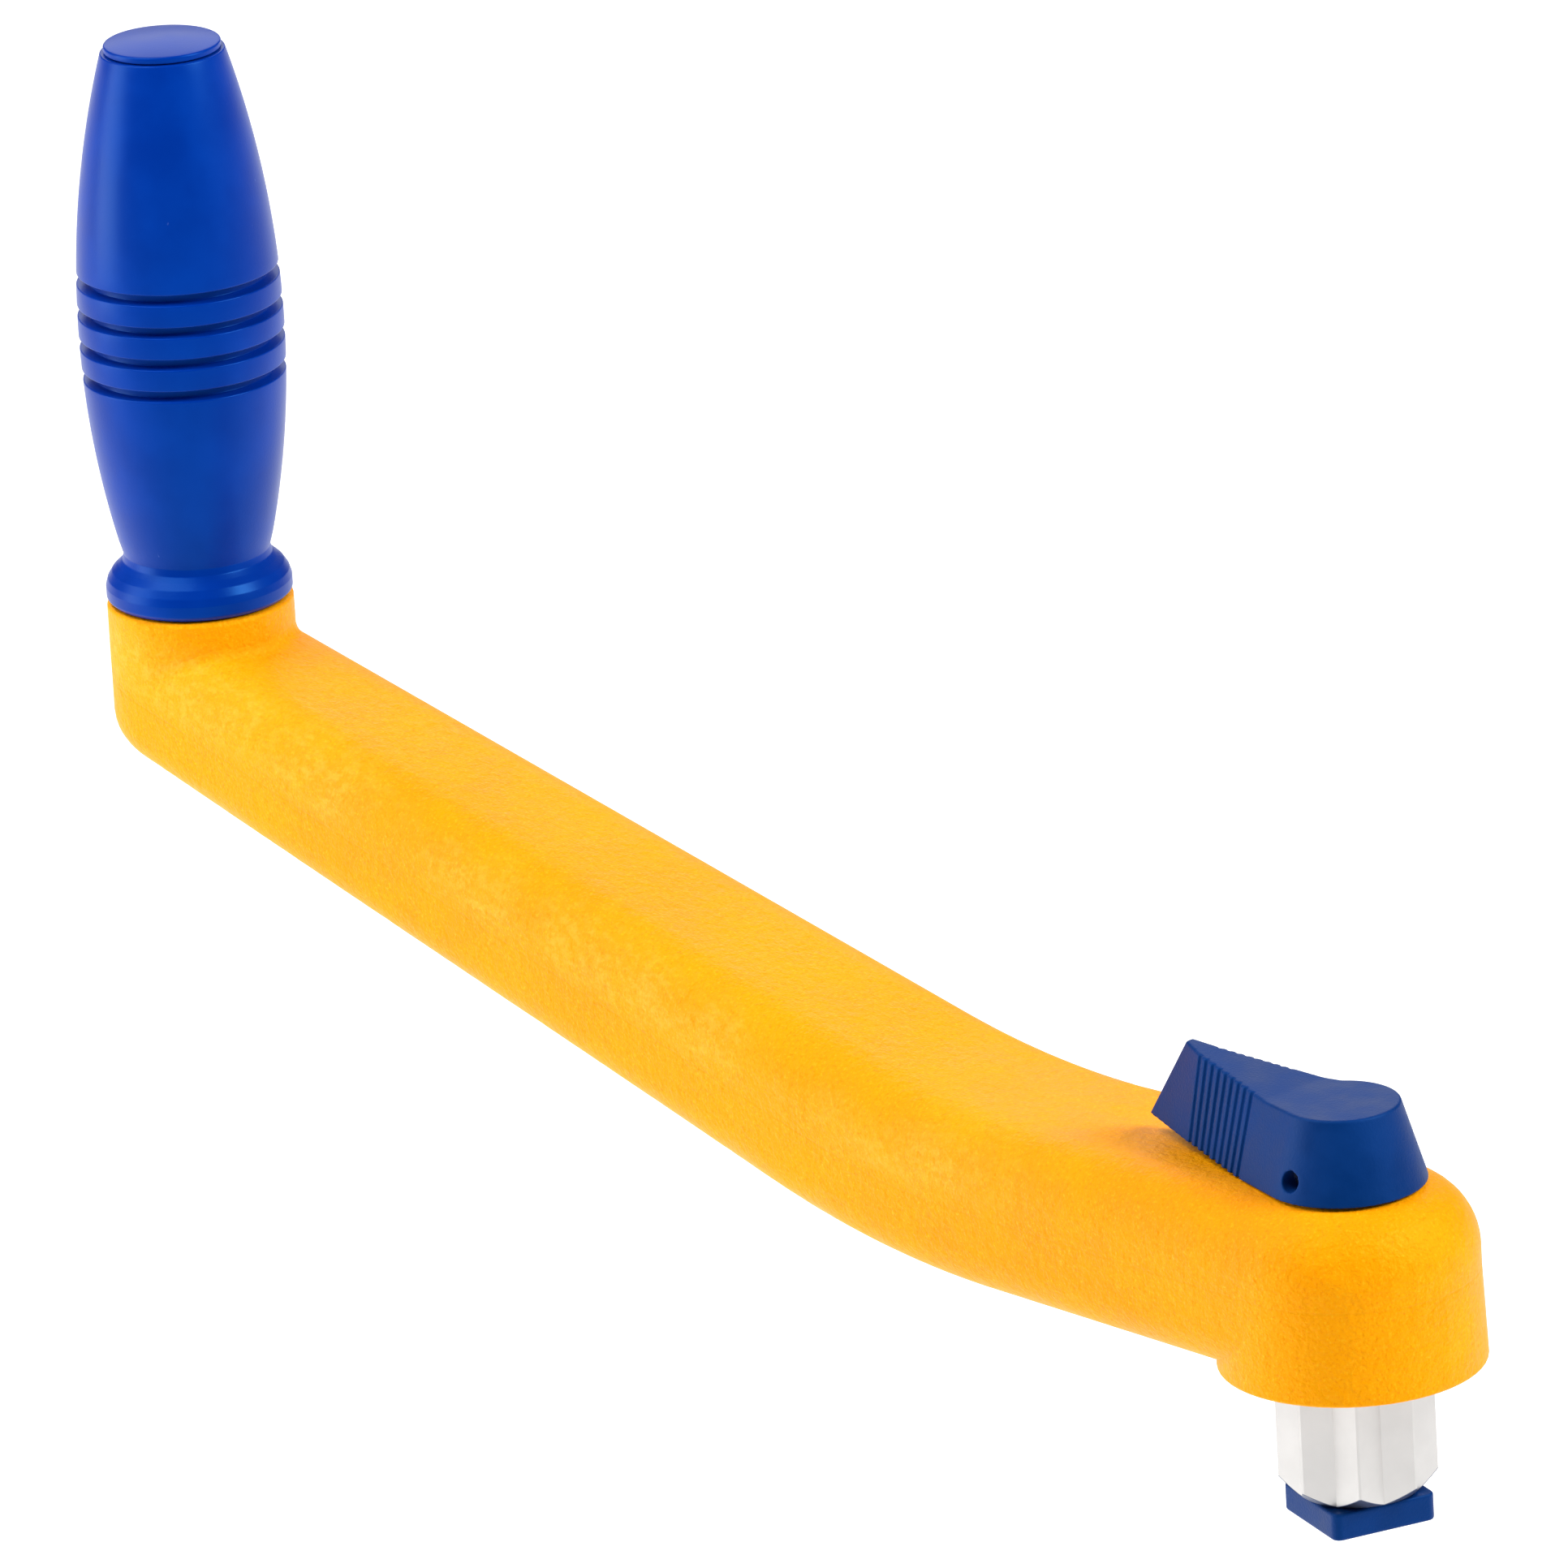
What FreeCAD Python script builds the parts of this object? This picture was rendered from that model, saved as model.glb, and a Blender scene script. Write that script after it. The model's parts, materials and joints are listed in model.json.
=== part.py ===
import FreeCAD, Part
import math
import os

Vector = FreeCAD.Vector

# Floating lock-in winch handle, in millimetres.
# Origin: the drive axis at the seat face, where the head of the arm rests on the winch.
# +Z runs up the drive axis. The arm runs to -X, up to the axis of the grip.

# --- Arm ---
ARM_LENGTH = 250.0             # drive axis to grip axis
HEAD_RADIUS = 20.2             # round head over the drive
HEAD_FOOT_OUTER_RADIUS = 20.7  # the head widens down to its seat face
GRIP_BOSS_RADIUS = 15.0        # round boss under the grip
HEAD_TOP_Z = 29.0
GRIP_BOSS_TOP_Z = 72.6
ARM_TOP_AT_GRIP_Z = 69.7       # sloping top face, taken at the grip axis
ARM_TOP_SLOPE = 0.238
ARM_TOP_BEND_X = -74.7
ARM_TOP_BEND_RADIUS = 160.0
ARM_BOTTOM_AT_GRIP_Z = 46.6    # sloping underside, taken at the grip axis
ARM_BOTTOM_SLOPE = 0.2785
ARM_UNDERSIDE_Z = 0.9          # level underside beside the head
ARM_BOTTOM_BEND_RADIUS = 180.0
HEAD_CREST_RADIUS = 200.0
TOP_EDGE_RADIUS = 8.7
HEAD_EDGE_RADIUS = 11.0        # the top edge is rounder over the head
HEAD_EDGE_END_X = -50.0        # and settles to the arm's own radius by here
BOTTOM_EDGE_RADIUS = 7.4
GRIP_END_EDGE_RADIUS = 6.2     # the underside is sharper below the grip
HEAD_FOOT_RADIUS = 0.5
BOSS_BLEND_RADIUS = 2.0        # between the grip boss and the sloping top
WALL = 3.0
PARTING_AT_GRIP_Z = 58.3
PARTING_HEAD_Z = 14.9
PARTING_SLOPE = 0.257
PARTING_BEND_RADIUS = 170.0
LIP_HEIGHT = 1.4               # tongue of the lower shell inside the upper one
LIP_INSET = 1.7
LIP_CLEARANCE = 0.1
WEB_X = -24.0                  # the head is solid from here on
GRIP_WEB_X = -238.0            # the grip end is solid up to here
FOAM_GAP = 0.3
REACH = 400.0                  # longer than the whole handle, for cutting tools
NEAR = 0.05                    # how close an edge must lie to be picked by its place

# --- Drive star, its flange and the lock ---
STAR_ACROSS_FLATS = 17.46      # each of its two squares
STAR_TIP_RADIUS = 12.15        # corners of the squares, blunted
STAR_BOTTOM_Z = -20.5
STAR_LEAD_IN_Z = -18.3         # the tips start to taper here
STAR_LEAD_IN_RADIUS = 9.5      # at the bottom, just clear of the valleys between the tips
FLANGE_ACROSS_FLATS = 30.0
FLANGE_CORNER_DEG = 22.5       # so that its flats face the arm and its sides
FLANGE_BOTTOM_Z = 4.0
FLANGE_TOP_Z = 14.85           # flush with the parting face of the lower shell
FIT_GAP = 0.05                 # around pieces that are held still
STOP_DEPTH = 3.2
STOP_RADIUS = 8.0              # of the recess that the drive pin swings in
LOCK_TRAVEL_DEG = 19.0         # lever turned until the plate lines up with the star
PLATE_ACROSS_FLATS = 17.4
PLATE_CORNER_RADIUS = 1.4
PLATE_RIM_RADIUS = 0.4
PLATE_TOP_Z = -20.8
PLATE_BOTTOM_Z = -25.2
SHAFT_RADIUS = 4.0
SHAFT_TOP_Z = 38.5
SHAFT_BORE_RADIUS = 4.6
SHAFT_CLEARANCE = 0.05
SPIGOT_ACROSS_FLATS = 5.0
LOWER_BUSH_TOP_Z = -12.0
LOWER_BUSH_RADIUS = 5.6
UPPER_BUSH_RADIUS = 6.5
UPPER_BUSH_TOP_Z = 25.0
CHAMBER_RADIUS = 9.6           # of the spring chamber in the upper shell
CHAMBER_TOP_Z = 21.0           # the upper bush stands on it
DRIVE_PIN_RADIUS = 1.2
DRIVE_PIN_Z = 13.3
DRIVE_PIN_HALF_LENGTH = 7.6
PIN_STOP_GAP = 0.08
SPRING_WIRE_RADIUS = 0.55
SPRING_MEAN_RADIUS = 6.6
SPRING_BOTTOM_Z = 15.95        # axis of the wire at its lower leg
SPRING_PITCH = 1.3
SPRING_TURNS = 3.25
SPRING_LEG_INNER_RADIUS = 1.5  # the lower leg ends inside the shaft
SPRING_LEG_OUTER_RADIUS = 11.5 # the upper leg ends in the upper shell
SPRING_GAP = 0.12              # round the legs, in their hole and slot
O_RING_Z = 26.4
O_RING_WIRE_RADIUS = 1.2
O_RING_GROOVE_GAP = 0.1
PLATE_SCREW_RADIUS = 1.5
PLATE_SCREW_HEAD_RADIUS = 2.9
PLATE_SCREW_HEAD_HEIGHT = 1.7
PLATE_SCREW_TOP_Z = -12.0

# --- Lever ---
LEVER_BASE_Z = 29.1
LEVER_CROWN_Z = 46.0           # outline of the lever's top, above its real top face
LEVER_TOP_Z = 41.8
LEVER_CREASE_X = -9.0          # the tab's top face rises from here
LEVER_CREASE_RADIUS = 12.0
LEVER_RISE_DEG = 7.3
LEVER_UNDERCUT_X = -15.0       # the tab's underside rises from here
LEVER_UNDERCUT_DEG = 5.5
LEVER_FOOT_RADIUS = 12.75      # of the hub, in the outline of the foot
LEVER_FOOT_ANGLES_DEG = (-105.6, 137.4)    # where the tab's flanks meet the hub
LEVER_FOOT_TAB = [(-27.3, 4.15), (-40.8, 1.3), (-40.8, -1.6), (-27.3, -5.6)]
LEVER_CROWN_RADIUS = 7.85
LEVER_CROWN_ANGLES_DEG = (-102.8, 128.7)
LEVER_CROWN_TAB = [(-26.5, 1.5), (-30.8, 0.85), (-30.8, -0.55), (-26.5, -2.5)]
LEVER_TIP_X = -33.0            # upright edges beyond this are at the tip
LEVER_NOSE_X = -24.0           # and those between here and the tip at the nose
LEVER_HUB_END_X = -12.0        # between hub and tab
LEVER_SIDE_CLIMB = 5.0         # edges that climb more than this run up the lever's sides
LEVER_TIP_EDGE_RADIUS = 0.45
LEVER_NOSE_RADIUS = 6.0
LEVER_INNER_CORNER_RADIUS = 2.0    # where the far flank meets the hub
LEVER_RIM_RADIUS = 0.5
FLUTE_COUNT = 9                # finger flutes on each flank of the tab
FLUTE_RADIUS = 0.42
FLUTE_STEP_SHARE = 0.0726      # of the flank's length
LEVER_PIN_Z = 32.2
LEVER_PIN_RADIUS = 1.6
LEVER_PIN_HALF_LENGTH = 9.2
LEVER_PIN_BORE_RADIUS = 0.9
LEVER_PIN_SLOT = 0.7
LEVER_WASHER_RADIUS = 9.0
LEVER_WASHER_BOTTOM_Z = 28.2
LEVER_WASHER_TOP_Z = 29.0

# --- Grip ---
GRIP_BOTTOM_Z = 72.9
COLLAR_RADIUS = 14.95
COLLAR_CHAMFER = 0.7
COLLAR_BULGE_Z = 75.2
COLLAR_TOP_Z = 78.7
COLLAR_TOP_RADIUS = 12.9
COLLAR_BOW = 0.45              # of the collar's round shoulder, beyond its chord
THROAT_BOW = 0.25              # of the hollow between collar and neck
NECK_RADIUS = 11.75
NECK_Z = 80.3
BELLY_RADIUS = 16.45
BELLY_Z = 118.0
GRIP_TOP_RADIUS = 9.95
GRIP_TOP_Z = 164.0
GROOVE_FIRST_Z = 111.15
GROOVE_PITCH = 5.31
GROOVE_COUNT = 4
GROOVE_MOUTH = 1.75
GROOVE_FLOOR = 1.4
GROOVE_DEPTH = 1.9
GRIP_BORE_RADIUS = 6.0
SPINDLE_RADIUS = 4.0
SPINDLE_TOP_Z = 161.6
SPINDLE_HEAD_BOTTOM_Z = 54.7   # the head lies across the parting face
SPINDLE_HEAD_HEIGHT = 5.3
SPINDLE_HEAD_ACROSS_FLATS = 13.0
GRIP_BUSH_LENGTH = 14.0
UPPER_GRIP_BUSH_TOP_Z = 156.4
THRUST_WASHER_RADIUS = 10.5
THRUST_WASHER_BOTTOM_Z = 72.0
THRUST_WASHER_TOP_Z = 72.8
NUT_POCKET_RADIUS = 8.2
NUT_POCKET_BOTTOM_Z = 156.5
GRIP_WASHER_THICKNESS = 1.0
GRIP_WASHER_GAP = 0.4          # between its rim and the pocket
NUT_ACROSS_FLATS = 11.6
NUT_TOP_Z = 161.4
CAP_RIM_RADIUS = 9.4
CAP_RIM_Z = 165.2
CAP_CROWN_Z = 166.1
CAP_EDGE_RADIUS = 0.5
CAP_GAP = 0.2                  # shadow line between cap and grip
CAP_SKIRT_WALL = 1.2
CAP_SKIRT_DEPTH = 2.4


# --- Shapes used by several pieces ---

def tube(outer_radius, inner_radius, bottom_z, top_z, centre_x=0.0):
    """A round tube on a vertical axis."""
    height = top_z - bottom_z
    base = Vector(centre_x, 0, bottom_z)
    outer = Part.makeCylinder(outer_radius, height, base)
    return outer.cut(Part.makeCylinder(inner_radius, height, base))


def rod(radius, bottom_z, top_z, centre_x=0.0):
    """A round rod on a vertical axis."""
    return Part.makeCylinder(radius, top_z - bottom_z, Vector(centre_x, 0, bottom_z))


def cross_rod(radius, half_length, z):
    """A round rod along Y through the drive axis."""
    return Part.makeCylinder(radius, 2 * half_length, Vector(0, -half_length, z), Vector(0, 1, 0))


def rounded_wire(corners, radii, place):
    """A closed outline: straight runs between corners, joined by tangent arcs."""
    count = len(corners)
    ends = []
    for i in range(count):
        corner = Vector(*corners[i], 0)
        to_last = (Vector(*corners[i - 1], 0) - corner).normalize()
        to_next = (Vector(*corners[(i + 1) % count], 0) - corner).normalize()
        half_angle = to_last.getAngle(to_next) / 2
        reach = radii[i] / math.tan(half_angle)
        bisector = (to_last + to_next).normalize()
        middle = corner + bisector * (radii[i] / math.sin(half_angle) - radii[i])
        ends.append((corner + to_last * reach, middle, corner + to_next * reach))
    edges = []
    for i in range(count):
        start, middle, end = [place(p.x, p.y) for p in ends[i]]
        if radii[i] > 0:
            edges.append(Part.Arc(start, middle, end).toShape())
        following = ends[(i + 1) % count][0]
        edges.append(Part.LineSegment(end, place(following.x, following.y)).toShape())
    return Part.Wire(edges)


def regular_prism(sides, across_flats, bottom_z, top_z, first_corner_deg, centre_x=0.0):
    """An upright prism on a regular polygon."""
    radius = across_flats / 2 / math.cos(math.pi / sides)
    points = []
    for i in range(sides + 1):
        angle = math.radians(first_corner_deg + 360.0 * i / sides)
        points.append(Vector(centre_x + radius * math.cos(angle), radius * math.sin(angle), bottom_z))
    return Part.Face(Part.makePolygon(points)).extrude(Vector(0, 0, top_z - bottom_z))


def turned(wire_edges, centre_x=0.0):
    """A solid of revolution from edges drawn in the XZ half-plane, radius along X."""
    solid = Part.Face(Part.Wire(wire_edges)).revolve(Vector(0, 0, 0), Vector(0, 0, 1), 360)
    solid.translate(Vector(centre_x, 0, 0))
    return solid


def line(start, end):
    """A straight edge between two (radius, height) points."""
    return Part.LineSegment(Vector(start[0], 0, start[1]), Vector(end[0], 0, end[1])).toShape()


def arc(start, middle, end):
    """A circular edge through three (radius, height) points."""
    points = [Vector(p[0], 0, p[1]) for p in (start, middle, end)]
    return Part.Arc(*points).toShape()


# --- Arm ---

def sloped_z(z_at_grip, slope, x):
    """Height of a sloping face of the arm at x."""
    return z_at_grip - slope * (x + ARM_LENGTH)


def side_outline():
    """The arm seen from its side, longer at both ends than the arm itself."""
    far_x = -ARM_LENGTH - 2 * GRIP_BOSS_RADIUS
    near_x = 2 * HEAD_RADIUS
    bottom_bend_x = (ARM_BOTTOM_AT_GRIP_Z - ARM_UNDERSIDE_Z) / ARM_BOTTOM_SLOPE - ARM_LENGTH
    corners = [
        (far_x, sloped_z(ARM_BOTTOM_AT_GRIP_Z, ARM_BOTTOM_SLOPE, far_x)),
        (bottom_bend_x, ARM_UNDERSIDE_Z),
        (near_x, ARM_UNDERSIDE_Z),
        (near_x, HEAD_TOP_Z),
        (0.0, HEAD_TOP_Z),
        (ARM_TOP_BEND_X, sloped_z(ARM_TOP_AT_GRIP_Z, ARM_TOP_SLOPE, ARM_TOP_BEND_X)),
        (far_x, sloped_z(ARM_TOP_AT_GRIP_Z, ARM_TOP_SLOPE, far_x)),
    ]
    radii = [0, ARM_BOTTOM_BEND_RADIUS, 0, 0, HEAD_CREST_RADIUS, ARM_TOP_BEND_RADIUS, 0]
    return rounded_wire(corners, radii, lambda x, z: Vector(x, 0, z))


def plan_outline(inset):
    """The arm seen from above: two round ends and their common tangents."""
    lean = (HEAD_RADIUS - GRIP_BOSS_RADIUS) / ARM_LENGTH
    edges = []
    for centre_x, radius, outward in ((0.0, HEAD_RADIUS, 1), (-ARM_LENGTH, GRIP_BOSS_RADIUS, -1)):
        r = radius - inset
        x = centre_x - r * lean
        y = r * math.sqrt(1 - lean ** 2)
        tip = Vector(centre_x + outward * r, 0, 0)
        edges.append(Part.Arc(Vector(x, -outward * y, 0), tip, Vector(x, outward * y, 0)).toShape())
    head, grip = edges
    edges.insert(1, Part.LineSegment(head.lastVertex().Point, grip.firstVertex().Point).toShape())
    edges.append(Part.LineSegment(grip.lastVertex().Point, head.firstVertex().Point).toShape())
    return Part.Wire(edges)


def rim_edges(solid, is_upper):
    """The edges that run all round the arm's top face, or round its underside."""
    chosen = []
    for edge in solid.Edges:
        ends = [v.Point for v in edge.Vertexes]
        middle = edge.valueAt((edge.FirstParameter + edge.LastParameter) / 2)
        upright = abs(ends[0].x - ends[-1].x) + abs(ends[0].y - ends[-1].y) < 1e-3
        across = abs(ends[0].x - ends[-1].x) + abs(ends[0].x - middle.x) < 1e-3
        parting_z = max(sloped_z(PARTING_AT_GRIP_Z, PARTING_SLOPE, middle.x), PARTING_HEAD_Z)
        if not upright and not across and (middle.z > parting_z) == is_upper:
            chosen.append(edge)
    return chosen


def rounded(solid, rims):
    """The solid with its rims rounded. Each rim has its edges and a rule for the radius at a given x."""
    document = FreeCAD.newDocument()
    base = document.addObject("Part::Feature")
    base.Shape = solid
    rounding = document.addObject("Part::Fillet")
    rounding.Base = base
    table = []
    for number, edge in enumerate(solid.Edges, 1):
        for edges, radius_at in rims:
            if any(edge.isSame(other) for other in edges):
                first = edge.valueAt(edge.FirstParameter)
                last = edge.valueAt(edge.LastParameter)
                table.append((number, radius_at(first.x), radius_at(last.x)))
    rounding.Edges = table
    document.recompute()
    shape = rounding.Shape.copy()
    FreeCAD.closeDocument(document.Name)
    return shape


def top_edge_radius(x):
    """Radius of the arm's top edge at x, growing towards the head."""
    share = min(1.0, max(0.0, (x - HEAD_EDGE_END_X) / -HEAD_EDGE_END_X))
    return TOP_EDGE_RADIUS + share * (HEAD_EDGE_RADIUS - TOP_EDGE_RADIUS)


def bottom_edge_radius(x):
    """Radius of the arm's bottom edge at x, smaller below the grip."""
    return GRIP_END_EDGE_RADIUS if x < -ARM_LENGTH / 2 else BOTTOM_EDGE_RADIUS


def arm_form(inset):
    """The closed form of the arm, with rounded edges, inset all round by a wall."""
    side = side_outline()
    if inset > 0:
        side = side.makeOffset2D(-inset)
    slab = Part.Face(side).extrude(Vector(0, REACH, 0))
    slab.translate(Vector(0, -REACH / 2, 0))
    column = Part.Face(plan_outline(inset)).extrude(Vector(0, 0, REACH))
    column.translate(Vector(0, 0, -REACH / 2))
    form = column.common(slab)
    return rounded(form, [
        (rim_edges(form, True), lambda x: top_edge_radius(x) - inset),
        (rim_edges(form, False), lambda x: bottom_edge_radius(x) - inset),
    ])


def edge_circle(solid, radius, z):
    """The circular edges of a solid with this radius at this height."""
    found = []
    for edge in solid.Edges:
        if edge.Degenerated or not isinstance(edge.Curve, Part.Circle):
            continue
        if abs(edge.Curve.Radius - radius) < 1e-3 and abs(edge.Curve.Center.z - z) < 1e-3:
            found.append(edge)
    return found


def boss_foot_edges(solid):
    """The edges along which the grip boss rises out of the arm."""
    found = []
    for edge in solid.Edges:
        if edge.Degenerated or edge.Length < 1:
            continue
        span = edge.LastParameter - edge.FirstParameter
        points = [edge.valueAt(edge.FirstParameter + share * span) for share in (0, 0.5, 1)]
        on_boss = [abs(math.hypot(p.x + ARM_LENGTH, p.y) - GRIP_BOSS_RADIUS) < 0.01 for p in points]
        box = edge.BoundBox
        if all(on_boss) and box.ZMin > PARTING_AT_GRIP_Z and box.ZMax < GRIP_BOSS_TOP_Z - 1:
            found.append(edge)
    return found


def arm_outside():
    """The arm with its round head and grip boss, before it is hollowed."""
    head = Part.makeCone(HEAD_FOOT_OUTER_RADIUS, HEAD_RADIUS, PARTING_HEAD_Z)
    head = head.makeFillet(HEAD_FOOT_RADIUS, edge_circle(head, HEAD_FOOT_OUTER_RADIUS, 0))
    boss = rod(GRIP_BOSS_RADIUS, PARTING_AT_GRIP_Z, GRIP_BOSS_TOP_Z, -ARM_LENGTH)
    boss = boss.makeFillet(COLLAR_CHAMFER, edge_circle(boss, GRIP_BOSS_RADIUS, GRIP_BOSS_TOP_Z))
    outside = arm_form(0).fuse([head, boss]).removeSplitter()
    return outside.makeFillet(BOSS_BLEND_RADIUS, boss_foot_edges(outside))


def below_parting(raise_z):
    """Everything under the parting surface, raised by a given height."""
    far_x = -ARM_LENGTH - 2 * GRIP_BOSS_RADIUS
    bend_x = (PARTING_AT_GRIP_Z - PARTING_HEAD_Z) / PARTING_SLOPE - ARM_LENGTH
    corners = [
        (far_x, -REACH / 2),
        (2 * HEAD_RADIUS, -REACH / 2),
        (2 * HEAD_RADIUS, PARTING_HEAD_Z + raise_z),
        (bend_x, PARTING_HEAD_Z + raise_z),
        (far_x, sloped_z(PARTING_AT_GRIP_Z, PARTING_SLOPE, far_x) + raise_z),
    ]
    wire = rounded_wire(corners, [0, 0, 0, PARTING_BEND_RADIUS, 0], lambda x, z: Vector(x, 0, z))
    block = Part.Face(wire).extrude(Vector(0, REACH, 0))
    block.translate(Vector(0, -REACH / 2, 0))
    return block


def between_webs(gap):
    """The stretch of the arm that is hollow."""
    length = WEB_X - GRIP_WEB_X - 2 * gap
    return Part.makeBox(length, REACH, REACH, Vector(GRIP_WEB_X + gap, -REACH / 2, -REACH / 2))


def cavity():
    """The hollow inside the arm."""
    return arm_form(WALL).common(between_webs(0))


def head_pockets():
    """Everything cut out of the head: star, flange, spring chamber, bush, seal and shaft."""
    flange = regular_prism(8, FLANGE_ACROSS_FLATS + 2 * FIT_GAP, FLANGE_BOTTOM_Z, FLANGE_TOP_Z + FIT_GAP,
                           FLANGE_CORNER_DEG)
    chamber = rod(CHAMBER_RADIUS, FLANGE_TOP_Z, CHAMBER_TOP_Z)
    bush = rod(UPPER_BUSH_RADIUS, CHAMBER_TOP_Z, UPPER_BUSH_TOP_Z)
    seal_half = O_RING_WIRE_RADIUS + O_RING_GROOVE_GAP
    seal_radius = SHAFT_RADIUS + 2 * O_RING_WIRE_RADIUS + O_RING_GROOVE_GAP
    seal = rod(seal_radius, O_RING_Z - seal_half, O_RING_Z + seal_half)
    shaft = rod(SHAFT_BORE_RADIUS, UPPER_BUSH_TOP_Z, REACH)
    recess = rod(LEVER_WASHER_RADIUS + 2 * FIT_GAP, LEVER_WASHER_BOTTOM_Z, REACH)
    star = star_column(FIT_GAP, -REACH / 2, FLANGE_BOTTOM_Z)
    return star.fuse([flange, chamber, bush, seal, shaft, recess, spring_slot()])


def grip_pockets():
    """Everything cut out of the grip boss: the spindle, its head and the thrust washer."""
    head_top_z = SPINDLE_HEAD_BOTTOM_Z + SPINDLE_HEAD_HEIGHT
    head = regular_prism(6, SPINDLE_HEAD_ACROSS_FLATS + 2 * FIT_GAP, SPINDLE_HEAD_BOTTOM_Z - FIT_GAP,
                         head_top_z + FIT_GAP, 0, -ARM_LENGTH)
    shank = rod(SPINDLE_RADIUS + FIT_GAP, head_top_z, REACH, -ARM_LENGTH)
    washer = rod(THRUST_WASHER_RADIUS + 2 * FIT_GAP, THRUST_WASHER_BOTTOM_Z, REACH, -ARM_LENGTH)
    return head.fuse([shank, washer])


def lower_shell(outside, hollow, pockets):
    """The lower moulding: underside, head foot, and the tongue that enters the upper shell."""
    tongue = arm_form(LIP_INSET).common(below_parting(LIP_HEIGHT)).common(between_webs(-2 * WALL))
    shell = outside.common(below_parting(0)).fuse(tongue)
    return shell.cut(hollow).cut(pockets)


def upper_shell(outside, hollow, pockets):
    """The upper moulding: top face, grip boss, and the rebate for the tongue."""
    rebate = arm_form(LIP_INSET - LIP_CLEARANCE).common(below_parting(LIP_HEIGHT + LIP_CLEARANCE))
    rebate = rebate.common(between_webs(-2 * WALL - LIP_CLEARANCE))
    return outside.cut(below_parting(0)).cut(rebate).cut(hollow).cut(pockets)


def foam_core():
    """Closed-cell foam that fills the hollow arm and keeps the handle afloat."""
    return arm_form(WALL + FOAM_GAP).common(between_webs(FOAM_GAP))


# --- Drive star and lock ---

def star_column(gap, bottom_z, top_z):
    """The eight-point section: two squares an eighth of a turn apart, with blunted tips."""
    width = STAR_ACROSS_FLATS + 2 * gap
    squares = [regular_prism(4, width, bottom_z, top_z, corner_deg) for corner_deg in (0, 45)]
    return squares[0].fuse(squares[1]).common(rod(STAR_TIP_RADIUS + gap, bottom_z, top_z)).removeSplitter()


def stop_recess():
    """The bow-tie in the flange that the drive pin swings in, from one wall to the other."""
    bottom_z = FLANGE_TOP_Z - STOP_DEPTH
    half_width = DRIVE_PIN_RADIUS + PIN_STOP_GAP
    corner = Vector(-half_width, -STOP_RADIUS, bottom_z)
    at_rest = Part.makeBox(2 * half_width, 2 * STOP_RADIUS, STOP_DEPTH, corner)
    at_end = at_rest.copy()
    at_end.rotate(Vector(0, 0, 0), Vector(0, 0, 1), LOCK_TRAVEL_DEG)
    return at_rest.fuse([at_end, swept_wedges(bottom_z)]).common(rod(STOP_RADIUS, bottom_z, FLANGE_TOP_Z))


def swept_wedges(bottom_z):
    """The two wedges between the first and the last position of the drive pin."""
    travel = math.radians(LOCK_TRAVEL_DEG)
    wedges = []
    for reach in (2 * STOP_RADIUS, -2 * STOP_RADIUS):
        first = Vector(0, reach, bottom_z)
        last = Vector(-reach * math.sin(travel), reach * math.cos(travel), bottom_z)
        face = Part.Face(Part.makePolygon([Vector(0, 0, bottom_z), first, last, Vector(0, 0, bottom_z)]))
        wedges.append(face.extrude(Vector(0, 0, STOP_DEPTH)))
    return wedges[0].fuse(wedges[1])


def drive_star():
    """The star that turns the winch, with the flange that the two shells hold."""
    column = star_column(0, STAR_BOTTOM_Z, FLANGE_BOTTOM_Z)
    flange = regular_prism(8, FLANGE_ACROSS_FLATS, FLANGE_BOTTOM_Z, FLANGE_TOP_Z, FLANGE_CORNER_DEG)
    lead_in = Part.makeCone(STAR_LEAD_IN_RADIUS, STAR_TIP_RADIUS, STAR_LEAD_IN_Z - STAR_BOTTOM_Z,
                            Vector(0, 0, STAR_BOTTOM_Z))
    body = column.common(lead_in.fuse(rod(STAR_TIP_RADIUS + 1, STAR_LEAD_IN_Z, FLANGE_BOTTOM_Z)))
    body = body.fuse(flange).removeSplitter()
    bush_bore = rod(LOWER_BUSH_RADIUS, STAR_BOTTOM_Z, LOWER_BUSH_TOP_Z)
    return body.cut(bush_bore).cut(rod(SHAFT_BORE_RADIUS, STAR_BOTTOM_Z, FLANGE_TOP_Z)).cut(stop_recess())


def lower_shaft_bush():
    """Plain bearing of the lock shaft at the foot of the star."""
    return tube(LOWER_BUSH_RADIUS, SHAFT_RADIUS + SHAFT_CLEARANCE, STAR_BOTTOM_Z, LOWER_BUSH_TOP_Z)


def upper_shaft_bush():
    """Plain bearing of the lock shaft in the upper shell."""
    return tube(UPPER_BUSH_RADIUS, SHAFT_RADIUS + SHAFT_CLEARANCE, CHAMBER_TOP_Z, UPPER_BUSH_TOP_Z)


def shaft_o_ring():
    """Seal between the lock shaft and the upper shell."""
    ring_radius = SHAFT_RADIUS + SHAFT_CLEARANCE + O_RING_WIRE_RADIUS
    return Part.makeTorus(ring_radius, O_RING_WIRE_RADIUS, Vector(0, 0, O_RING_Z))


def lever_washer():
    """Thin slip washer in the head, under the lever."""
    return tube(LEVER_WASHER_RADIUS, SHAFT_BORE_RADIUS, LEVER_WASHER_BOTTOM_Z, LEVER_WASHER_TOP_Z)


def spring_slot():
    """The slot beside the spring chamber for the spring's upper leg, open to the parting face."""
    half = SPRING_WIRE_RADIUS + SPRING_GAP
    leg_z = SPRING_BOTTOM_Z + SPRING_PITCH * SPRING_TURNS
    corner = Vector(-half, 0, FLANGE_TOP_Z)
    return Part.makeBox(2 * half, SPRING_LEG_OUTER_RADIUS + SPRING_GAP, leg_z + half - FLANGE_TOP_Z, corner)


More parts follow.
